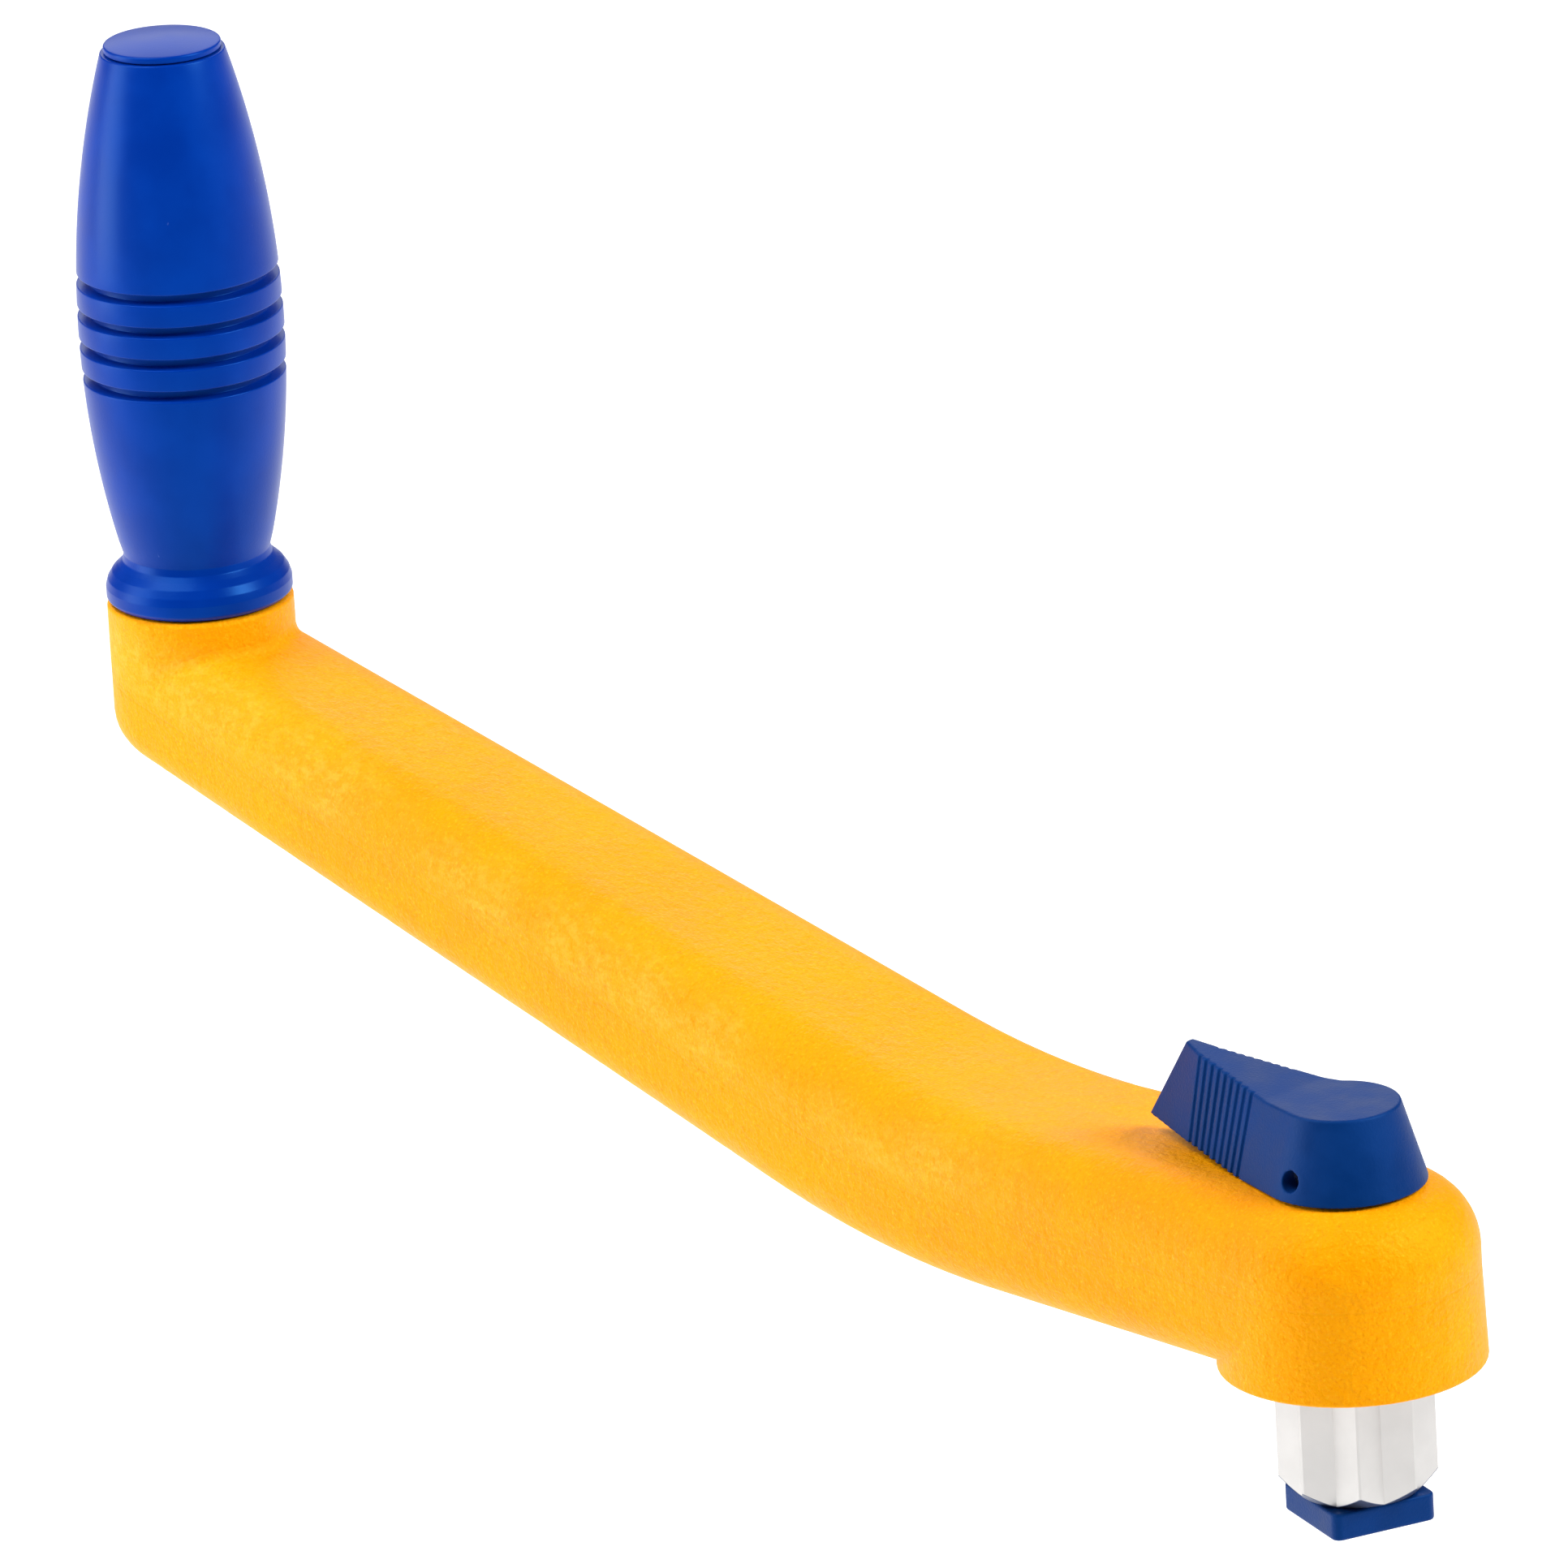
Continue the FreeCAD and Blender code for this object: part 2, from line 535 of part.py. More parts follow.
def return_spring():
    """Torsion spring round the lock shaft: coils, a leg into the shaft and a leg out to the shell."""
    helix = Part.makeHelix(SPRING_PITCH, SPRING_PITCH * SPRING_TURNS, SPRING_MEAN_RADIUS)
    wire_end = Vector(SPRING_MEAN_RADIUS, 0, 0)
    section = Part.Wire(Part.makeCircle(SPRING_WIRE_RADIUS, wire_end, Vector(0, 1, 0)))
    coils = Part.Wire(helix).makePipeShell([section], True, True)
    coils.translate(Vector(0, 0, SPRING_BOTTOM_Z))
    lower_bend = Vector(SPRING_MEAN_RADIUS, 0, SPRING_BOTTOM_Z)
    upper_bend = Vector(0, SPRING_MEAN_RADIUS, SPRING_BOTTOM_Z + SPRING_PITCH * SPRING_TURNS)
    inward = SPRING_MEAN_RADIUS - SPRING_LEG_INNER_RADIUS
    outward = SPRING_LEG_OUTER_RADIUS - SPRING_MEAN_RADIUS
    lower_leg = Part.makeCylinder(SPRING_WIRE_RADIUS, inward, lower_bend, Vector(-1, 0, 0))
    upper_leg = Part.makeCylinder(SPRING_WIRE_RADIUS, outward, upper_bend, Vector(0, 1, 0))
    knees = [Part.makeSphere(SPRING_WIRE_RADIUS, bend) for bend in (lower_bend, upper_bend)]
    return coils.fuse([lower_leg, upper_leg] + knees)


def lock_shaft():
    """Steel rod from the lever to the lock plate, with a square foot, two cross holes and a spring hole."""
    shaft = rod(SHAFT_RADIUS, PLATE_TOP_Z, SHAFT_TOP_Z)
    spigot = regular_prism(4, SPIGOT_ACROSS_FLATS, PLATE_BOTTOM_Z + PLATE_SCREW_HEAD_HEIGHT, PLATE_TOP_Z, 45)
    spigot.rotate(Vector(0, 0, 0), Vector(0, 0, 1), -LOCK_TRAVEL_DEG)
    shaft = shaft.fuse(spigot)
    shaft = shaft.cut(cross_rod(DRIVE_PIN_RADIUS, 2 * SHAFT_RADIUS, DRIVE_PIN_Z))
    shaft = shaft.cut(cross_rod(LEVER_PIN_RADIUS, 2 * SHAFT_RADIUS, LEVER_PIN_Z))
    hole_end = Vector(SPRING_LEG_INNER_RADIUS - SPRING_GAP, 0, SPRING_BOTTOM_Z)
    spring_hole = Part.makeCylinder(SPRING_WIRE_RADIUS + SPRING_GAP, SHAFT_RADIUS, hole_end, Vector(1, 0, 0))
    return shaft.cut(spring_hole).cut(rod(PLATE_SCREW_RADIUS, -REACH, PLATE_SCREW_TOP_Z))


def drive_pin():
    """Cross pin of the shaft, which stops the lock at both ends of its travel."""
    return cross_rod(DRIVE_PIN_RADIUS, DRIVE_PIN_HALF_LENGTH, DRIVE_PIN_Z)


def lock_plate():
    """The square plate that catches under the winch socket when the lever is released."""
    half = PLATE_ACROSS_FLATS / 2
    corners = [(half, half), (-half, half), (-half, -half), (half, -half)]
    outline = rounded_wire(corners, [PLATE_CORNER_RADIUS] * 4, lambda x, y: Vector(x, y, PLATE_BOTTOM_Z))
    plate = Part.Face(outline).extrude(Vector(0, 0, PLATE_TOP_Z - PLATE_BOTTOM_Z))
    plate = plate.makeFillet(PLATE_RIM_RADIUS, [edge for edge in plate.Edges if edge.BoundBox.ZLength < NEAR])
    head_top_z = PLATE_BOTTOM_Z + PLATE_SCREW_HEAD_HEIGHT
    plate = plate.cut(regular_prism(4, SPIGOT_ACROSS_FLATS, head_top_z, PLATE_TOP_Z, 45))
    plate = plate.cut(Part.makeCone(PLATE_SCREW_HEAD_RADIUS, PLATE_SCREW_RADIUS, PLATE_SCREW_HEAD_HEIGHT,
                                    Vector(0, 0, PLATE_BOTTOM_Z)))
    plate.rotate(Vector(0, 0, 0), Vector(0, 0, 1), -LOCK_TRAVEL_DEG)
    return plate


def lock_plate_screw():
    """Countersunk screw that holds the plate to the shaft, with a hexagon socket."""
    head = Part.makeCone(PLATE_SCREW_HEAD_RADIUS, PLATE_SCREW_RADIUS, PLATE_SCREW_HEAD_HEIGHT,
                         Vector(0, 0, PLATE_BOTTOM_Z))
    head_top_z = PLATE_BOTTOM_Z + PLATE_SCREW_HEAD_HEIGHT
    screw = head.fuse(rod(PLATE_SCREW_RADIUS, head_top_z, PLATE_SCREW_TOP_Z))
    return screw.cut(regular_prism(6, PLATE_SCREW_RADIUS, PLATE_BOTTOM_Z, head_top_z, 0))


# --- Lever ---

def lever_outline(hub_radius, meeting_angles, tab, z):
    """One level outline of the lever: the arc of its hub and the pointed tab."""
    ends = []
    for angle in map(math.radians, meeting_angles):
        ends.append(Vector(hub_radius * math.cos(angle), hub_radius * math.sin(angle), z))
    arc_edge = Part.Arc(ends[0], Vector(hub_radius, 0, z), ends[1]).toShape()
    corners = [ends[1]] + [Vector(x, y, z) for x, y in tab] + [ends[0]]
    return Part.Wire([arc_edge] + [Part.LineSegment(*pair).toShape() for pair in zip(corners, corners[1:])])


def tab_cutter(start_x, start_z, rise_deg, upward):
    """What bounds the lever above or below: level over the hub, then rising towards the tip."""
    height = REACH if upward else -REACH
    face = Part.makePlane(REACH, REACH, Vector(-REACH, -REACH / 2, 0))
    rising = face.extrude(Vector(0, 0, height))
    rising.rotate(Vector(0, 0, 0), Vector(0, 1, 0), rise_deg)
    level = Part.makePlane(REACH, REACH, Vector(0, -REACH / 2, 0)).extrude(Vector(0, 0, height))
    cutter = rising.fuse(level)
    cutter.translate(Vector(start_x, 0, start_z))
    return cutter


def edges_within(solid, lowest, highest):
    """The edges of a solid that lie wholly between two corners of space."""
    room = FreeCAD.BoundBox(lowest, highest)
    return [edge for edge in solid.Edges if not edge.Degenerated and room.isInside(edge.BoundBox)]


def upright_edges(solid, low_x, high_x):
    """The edges that climb the lever's sides between two places along it."""
    climbing = [edge for edge in solid.Edges if edge.BoundBox.ZLength > LEVER_SIDE_CLIMB]
    return [edge for edge in climbing if low_x < edge.CenterOfMass.x < high_x]


def lever_form():
    """The lever before its flutes and bores: hub and tab in one sweep, with soft edges."""
    foot = lever_outline(LEVER_FOOT_RADIUS, LEVER_FOOT_ANGLES_DEG, LEVER_FOOT_TAB, LEVER_BASE_Z)
    crown = lever_outline(LEVER_CROWN_RADIUS, LEVER_CROWN_ANGLES_DEG, LEVER_CROWN_TAB, LEVER_CROWN_Z)
    form = Part.makeLoft([foot, crown], True, True)
    form = form.cut(tab_cutter(LEVER_CREASE_X, LEVER_TOP_Z, LEVER_RISE_DEG, True))
    crease = edges_within(form, Vector(LEVER_CREASE_X - NEAR, -REACH, LEVER_TOP_Z - NEAR),
                          Vector(LEVER_CREASE_X + NEAR, REACH, LEVER_TOP_Z + NEAR))
    form = form.makeFillet(LEVER_CREASE_RADIUS, crease)
    form = form.makeFillet(LEVER_TIP_EDGE_RADIUS, upright_edges(form, -REACH, LEVER_TIP_X))
    form = form.makeFillet(LEVER_NOSE_RADIUS, upright_edges(form, LEVER_TIP_X, LEVER_NOSE_X))
    form = form.cut(tab_cutter(LEVER_UNDERCUT_X, LEVER_BASE_Z, LEVER_UNDERCUT_DEG, False))
    inner = [edge for edge in upright_edges(form, LEVER_HUB_END_X, 0) if edge.CenterOfMass.y > 0]
    form = form.makeFillet(LEVER_INNER_CORNER_RADIUS, inner)
    rim = edges_within(form, Vector(-REACH, -REACH, LEVER_TOP_Z - NEAR), Vector(REACH, REACH, REACH))
    rim = [edge for edge in rim if edge.BoundBox.XLength > NEAR or edge.CenterOfMass.x < LEVER_HUB_END_X]
    return form.makeFillet(LEVER_RIM_RADIUS, rim)


def finger_flutes():
    """Fine upright flutes on both flanks of the tab, for the thumb and finger."""
    foot = lever_outline(LEVER_FOOT_RADIUS, LEVER_FOOT_ANGLES_DEG, LEVER_FOOT_TAB, LEVER_BASE_Z)
    crown = lever_outline(LEVER_CROWN_RADIUS, LEVER_CROWN_ANGLES_DEG, LEVER_CROWN_TAB, LEVER_CROWN_Z)
    flutes = []
    for flank, at_hub in ((1, 0), (5, 1)):
        low = [v.Point for v in foot.OrderedEdges[flank].Vertexes]
        high = [v.Point for v in crown.OrderedEdges[flank].Vertexes]
        for i in range(FLUTE_COUNT):
            share = i * FLUTE_STEP_SHARE
            bottom = low[1 - at_hub] + (low[at_hub] - low[1 - at_hub]) * share
            top = high[1 - at_hub] + (high[at_hub] - high[1 - at_hub]) * share
            rise = top - bottom
            flutes.append(Part.makeCylinder(FLUTE_RADIUS, 2 * rise.Length, bottom - rise / 2, rise))
    return flutes


def lock_lever():
    """The lever: a conical hub over the shaft and a fluted thumb tab."""
    lever = lever_form().cut(finger_flutes())
    lever = lever.cut(rod(SHAFT_RADIUS, LEVER_BASE_Z, SHAFT_TOP_Z))
    return lever.cut(cross_rod(LEVER_PIN_RADIUS, 2 * LEVER_FOOT_RADIUS, LEVER_PIN_Z))


def lever_pin():
    """Slotted spring pin that fixes the lever to the shaft."""
    pin = cross_rod(LEVER_PIN_RADIUS, LEVER_PIN_HALF_LENGTH, LEVER_PIN_Z)
    pin = pin.cut(cross_rod(LEVER_PIN_BORE_RADIUS, LEVER_PIN_HALF_LENGTH, LEVER_PIN_Z))
    slot = Part.makeBox(2 * LEVER_PIN_RADIUS, 2 * LEVER_PIN_HALF_LENGTH, LEVER_PIN_SLOT,
                        Vector(0, -LEVER_PIN_HALF_LENGTH, LEVER_PIN_Z - LEVER_PIN_SLOT / 2))
    return pin.cut(slot)


# --- Grip ---

def bulged(start, end, bow):
    """The middle point of an arc that stands off its chord by a given bow, outwards if positive."""
    run, rise = end[0] - start[0], end[1] - start[1]
    length = math.hypot(run, rise)
    return ((start[0] + end[0]) / 2 + bow * rise / length, (start[1] + end[1]) / 2 - bow * run / length)


def bowed(start, end, apex):
    """The middle point of an arc that is upright at one end, its apex."""
    other = end if apex == start else start
    drop = apex[0] - other[0]
    span = other[1] - apex[1]
    radius = (span ** 2 + drop ** 2) / (2 * drop)
    half_angle = math.asin(span / radius) / 2
    return (apex[0] - radius * (1 - math.cos(half_angle)), apex[1] + radius * math.sin(half_angle))


def grip_groove(z):
    """One finger groove: a ring with sloping walls."""
    outer = BELLY_RADIUS + 1
    floor = BELLY_RADIUS - GROOVE_DEPTH
    spread = (GROOVE_MOUTH - GROOVE_FLOOR) / 2 * (outer - floor) / GROOVE_DEPTH
    half = GROOVE_FLOOR / 2
    points = [(floor, z - half), (outer, z - half - spread), (outer, z + half + spread), (floor, z + half)]
    return turned([line(points[i], points[(i + 1) % 4]) for i in range(4)])


def grip_sleeve():
    """The grip: collar, waist, belly with grooves, and the nut pocket under its cap."""
    foot = (COLLAR_RADIUS - COLLAR_CHAMFER, GRIP_BOTTOM_Z)
    foot_side = (COLLAR_RADIUS, GRIP_BOTTOM_Z + COLLAR_CHAMFER)
    bulge = (COLLAR_RADIUS, COLLAR_BULGE_Z)
    collar_top = (COLLAR_TOP_RADIUS, COLLAR_TOP_Z)
    neck = (NECK_RADIUS, NECK_Z)
    belly = (BELLY_RADIUS, BELLY_Z)
    top = (GRIP_TOP_RADIUS, GRIP_TOP_Z)
    top_inner = (GRIP_BORE_RADIUS, GRIP_TOP_Z)
    bottom_inner = (GRIP_BORE_RADIUS, GRIP_BOTTOM_Z)
    body = turned([
        line(foot, foot_side),
        line(foot_side, bulge),
        arc(bulge, bulged(bulge, collar_top, COLLAR_BOW), collar_top),
        arc(collar_top, bulged(collar_top, neck, -THROAT_BOW), neck),
        arc(neck, bowed(neck, belly, belly), belly),
        arc(belly, bowed(belly, top, belly), top),
        line(top, top_inner),
        line(top_inner, bottom_inner),
        line(bottom_inner, foot),
    ])
    for i in range(GROOVE_COUNT):
        body = body.cut(grip_groove(GROOVE_FIRST_Z + i * GROOVE_PITCH))
    body = body.cut(rod(NUT_POCKET_RADIUS, NUT_POCKET_BOTTOM_Z, REACH))
    body.translate(Vector(-ARM_LENGTH, 0, 0))
    return body


def grip_bush(bottom_z):
    """Plain bearing of the grip on its spindle."""
    inner = SPINDLE_RADIUS + SHAFT_CLEARANCE
    return tube(GRIP_BORE_RADIUS, inner, bottom_z, bottom_z + GRIP_BUSH_LENGTH, -ARM_LENGTH)


def grip_spindle():
    """Steel bolt whose hexagon head is held between the shells and whose shank carries the grip."""
    head_top_z = SPINDLE_HEAD_BOTTOM_Z + SPINDLE_HEAD_HEIGHT
    head = regular_prism(6, SPINDLE_HEAD_ACROSS_FLATS, SPINDLE_HEAD_BOTTOM_Z, head_top_z, 0, -ARM_LENGTH)
    return head.fuse(rod(SPINDLE_RADIUS, head_top_z, SPINDLE_TOP_Z, -ARM_LENGTH))


def grip_thrust_washer():
    """Slip washer between the grip boss and the grip."""
    inner = SPINDLE_RADIUS + FIT_GAP
    return tube(THRUST_WASHER_RADIUS, inner, THRUST_WASHER_BOTTOM_Z, THRUST_WASHER_TOP_Z, -ARM_LENGTH)


def grip_retaining_washer():
    """Washer under the lock nut, which keeps the grip on its spindle."""
    bottom_z = NUT_POCKET_BOTTOM_Z + 2 * FIT_GAP
    inner = SPINDLE_RADIUS + FIT_GAP
    top_z = bottom_z + GRIP_WASHER_THICKNESS
    return tube(NUT_POCKET_RADIUS - GRIP_WASHER_GAP, inner, bottom_z, top_z, -ARM_LENGTH)


def grip_lock_nut():
    """Lock nut on top of the spindle, under the end cap."""
    bottom_z = NUT_POCKET_BOTTOM_Z + 2 * FIT_GAP + GRIP_WASHER_THICKNESS
    nut = regular_prism(6, NUT_ACROSS_FLATS, bottom_z, NUT_TOP_Z, 0, -ARM_LENGTH)
    return nut.cut(rod(SPINDLE_RADIUS, bottom_z, NUT_TOP_Z, -ARM_LENGTH))


def grip_end_cap():
    """The cap that closes the grip: a shallow dome with a skirt pressed into the pocket."""
    crown_height = CAP_CROWN_Z - CAP_RIM_Z
    crown_radius = (CAP_RIM_RADIUS ** 2 + crown_height ** 2) / (2 * crown_height)
    under_z = GRIP_TOP_Z + CAP_GAP
    ball = Part.makeSphere(crown_radius, Vector(-ARM_LENGTH, 0, CAP_CROWN_Z - crown_radius))
    dome = rod(CAP_RIM_RADIUS, under_z, CAP_CROWN_Z, -ARM_LENGTH).common(ball)
    dome = dome.makeFillet(CAP_EDGE_RADIUS, edge_circle(dome, CAP_RIM_RADIUS, CAP_RIM_Z))
    skirt_inner = NUT_POCKET_RADIUS - CAP_SKIRT_WALL
    skirt = tube(NUT_POCKET_RADIUS, skirt_inner, GRIP_TOP_Z - CAP_SKIRT_DEPTH, under_z, -ARM_LENGTH)
    return dome.fuse(skirt)


def build():
    """Every piece of the handle, by its node name."""
    outside = arm_outside()
    hollow = cavity()
    pockets = head_pockets().fuse(grip_pockets())
    return {
        "upper_shell": upper_shell(outside, hollow, pockets),
        "lower_shell": lower_shell(outside, hollow, pockets),
        "foam_core": foam_core(),
        "drive_star": drive_star(),
        "lower_shaft_bush": lower_shaft_bush(),
        "upper_shaft_bush": upper_shaft_bush(),
        "shaft_o_ring": shaft_o_ring(),
        "lever_washer": lever_washer(),
        "return_spring": return_spring(),
        "lock_shaft": lock_shaft(),
        "drive_pin": drive_pin(),
        "lock_plate": lock_plate(),
        "lock_plate_screw": lock_plate_screw(),
        "lock_lever": lock_lever(),
        "lever_pin": lever_pin(),
        "grip_spindle": grip_spindle(),
        "grip_thrust_washer": grip_thrust_washer(),
        "lower_grip_bush": grip_bush(GRIP_BOTTOM_Z + 2 * FIT_GAP),
        "upper_grip_bush": grip_bush(UPPER_GRIP_BUSH_TOP_Z - GRIP_BUSH_LENGTH),
        "grip_retaining_washer": grip_retaining_washer(),
        "grip_lock_nut": grip_lock_nut(),
        "grip_sleeve": grip_sleeve(),
        "grip_end_cap": grip_end_cap(),
    }


os.makedirs("parts", exist_ok=True)
for name, shape in build().items():
    print(name, "solids", len(shape.Solids), "volume", round(shape.Volume, 1), "valid", shape.isValid())
    shape.exportStep("parts/" + name + ".step")
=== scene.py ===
"""Looks of the lock-in winch handle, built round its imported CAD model.

The frame is the CAD's: origin on the drive axis at the seat face, +Z up, arm to -X. Metres.
"""
import json
import math

import bmesh
import bpy
from mathutils import Matrix, Vector


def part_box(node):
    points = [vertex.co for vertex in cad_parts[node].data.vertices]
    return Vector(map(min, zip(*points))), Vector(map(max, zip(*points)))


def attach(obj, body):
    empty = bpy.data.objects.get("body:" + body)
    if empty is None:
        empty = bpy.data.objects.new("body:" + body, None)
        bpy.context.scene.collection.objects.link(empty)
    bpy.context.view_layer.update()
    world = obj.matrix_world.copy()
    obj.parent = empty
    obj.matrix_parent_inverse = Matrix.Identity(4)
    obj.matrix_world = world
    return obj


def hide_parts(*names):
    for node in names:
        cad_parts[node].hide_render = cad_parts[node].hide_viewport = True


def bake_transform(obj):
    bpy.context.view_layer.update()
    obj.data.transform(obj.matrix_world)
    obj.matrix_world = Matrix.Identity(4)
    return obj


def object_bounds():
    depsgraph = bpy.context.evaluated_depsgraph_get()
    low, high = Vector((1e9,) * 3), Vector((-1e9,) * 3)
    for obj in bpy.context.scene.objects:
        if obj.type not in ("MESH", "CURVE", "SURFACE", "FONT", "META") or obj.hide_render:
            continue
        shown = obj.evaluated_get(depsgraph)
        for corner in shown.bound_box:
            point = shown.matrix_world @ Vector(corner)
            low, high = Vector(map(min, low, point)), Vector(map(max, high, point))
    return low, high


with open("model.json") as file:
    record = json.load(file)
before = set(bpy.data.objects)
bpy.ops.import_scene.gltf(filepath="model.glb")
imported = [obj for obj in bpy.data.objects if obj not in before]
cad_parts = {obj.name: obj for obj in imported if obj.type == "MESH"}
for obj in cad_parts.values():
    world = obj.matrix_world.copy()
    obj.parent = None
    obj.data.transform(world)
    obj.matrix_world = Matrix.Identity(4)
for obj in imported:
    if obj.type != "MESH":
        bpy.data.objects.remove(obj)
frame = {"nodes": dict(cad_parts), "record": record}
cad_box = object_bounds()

MM = 0.001
NODES = frame["nodes"]

# --- Places, taken from the frame ---
GRIP_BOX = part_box("grip_sleeve")
GRIP_X = (GRIP_BOX[0].x + GRIP_BOX[1].x) / 2
GRIP_FOOT_Z = GRIP_BOX[0].z
GRIP_TOP_Z = GRIP_BOX[1].z
CAP_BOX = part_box("grip_end_cap")
STAR_FOOT_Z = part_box("drive_star")[0].z

# --- Shapes, matched to the CAD source ---
PARTING_GRIP_Z = 58.3 * MM    # the line where the arm's halves meet, at the grip axis
PARTING_SLOPE = 0.257
PARTING_HEAD_Z = 14.9 * MM    # the line is level round the head
PARTING_SOFTNESS = 6.0 * MM   # of the bend between slope and level
SHOULDER_HEIGHT = 6.5 * MM    # of the pale band along the arm's sides, above the parting line: wear with a painted highlight
WEAR_AND_HIGHLIGHT_FADE = (8.0 * MM, 2.0 * MM)         # the band fades out between these, up and down
WEAR_AND_HIGHLIGHT_END_X = (-35.0 * MM, -80.0 * MM)    # and between these towards the head
STAR_FOOT_RADIUS = 9.5 * MM   # of the cone that tapers the star's tips
STAR_TAPER = 1.205            # the cone's radius grows by this for each unit of height
COLLAR_RADIUS = 14.95 * MM
# the collar's outline going up: inset from its radius, height above its foot, rounding
COLLAR_CORNERS = (
    (0.7 * MM, 0.0, 0.3 * MM),
    (0.0, 0.7 * MM, 0.6 * MM),
    (0.0, 2.5 * MM, 0.6 * MM),
    (0.35 * MM, 3.7 * MM, 0.8 * MM),
    (1.15 * MM, 4.95 * MM, 0.8 * MM),
    (2.2 * MM, 5.9 * MM, 0.7 * MM),
)
NECK_RADIUS = 11.75 * MM
NECK_Z = 80.3 * MM
NECK_FOOT = (0.25 * MM, 6.7 * MM, 0.6 * MM)    # out from the neck, above the grip's foot, rounding
NECK_LIP = (0.4 * MM, 0.5 * MM)                # above the neck, rounding
BELLY_RADIUS = 16.45 * MM
BELLY_Z = 118.0 * MM
BARREL_START = 1.2 * MM       # above the neck
BARREL_END = 0.6 * MM         # below the top
BARREL_SPACING = 1.5 * MM     # between the points that follow the barrel's curve
GRIP_TOP_RADIUS = 9.95 * MM
GRIP_TOP_ROUNDING = 0.35 * MM
GRIP_BORE_RADIUS = 6.0 * MM
BORE_ROUNDING = 0.2 * MM
POCKET_RADIUS = 8.2 * MM      # of the pocket for the lock nut and the cap's skirt
POCKET_FLOOR_Z = 156.5 * MM
POCKET_ROUNDING = 0.1 * MM
GROOVE_FIRST_Z = 111.15 * MM
GROOVE_PITCH = 5.31 * MM
GROOVE_COUNT = 4
GROOVE_MOUTH = 1.75 * MM
GROOVE_FLOOR = 1.4 * MM
GROOVE_DEPTH = 1.9 * MM
GROOVE_LIP = 0.28 * MM        # rounding of the groove's edges
CAP_RIM_RADIUS = 9.4 * MM
CAP_RIM_ROUNDING = (0.15 * MM, 0.5 * MM)       # under the rim, and over it
CAP_CROWN_RISE = 0.9 * MM     # from the rim to the middle of the dome
CAP_CROWN_STEPS = 12
CAP_SKIRT = (8.2 * MM, 7.0 * MM)               # outer and inner radius
CAP_SKIRT_ROUNDING = 0.2 * MM
CAP_GAP = 0.2 * MM            # under the rim

# --- Meshing ---
TURNED_SEGMENTS = 192
ROUNDING_STEPS = 5
ROUNDING_REACH = 0.48         # the most that a rounding takes of the run on either side
LEVER_VOXEL = 0.16 * MM
LEVER_SMOOTHING = 8
PLATE_VOXEL = 0.14 * MM
PLATE_SMOOTHING = 4

# --- Camera: a long lens, looking down along the arm from the head's side ---
CAMERA_PLACE = Vector((1.66745, -1.70386, 0.92051))
CAMERA_YAW_DEG = 46.3283
CAMERA_PITCH_DEG = 19.0596
CAMERA_ROLL_DEG = -3.3309
CAMERA_LENS_MM = 386.78
CAMERA_SENSOR_MM = 36.0

# --- Studio ---
FLOOR_DROP = 0.42
FLOOR_SIZE = 30.0
FLOOR_GLOW = 1.0
WORLD_STRENGTH = 0.05
VIEW_REACH = 100
# name, place, target, width and height, watts
LIGHTS = (
    ("left_softbox", (-0.87, -0.78, 0.35), (-0.12, 0.0, 0.05), (0.6, 1.0), 8.6),
    ("right_softbox", (0.85, 0.45, 0.9), (-0.12, 0.0, 0.05), (0.5, 0.7), 19.0),
    ("top_softbox", (-0.45, -0.55, 1.3), (-0.12, 0.0, 0.0), (0.9, 0.9), 13.5),
    ("back_softbox", (-2.6, 2.4, 1.9), (-0.12, 0.0, 0.05), (3.0, 2.4), 38.0),
)


# --- Materials: noise sizes are in metres, colours in sRGB, and shares run from 0 to 1 ---
MIDDLE = (0.3, 0.7)    # most of a noise lies between these

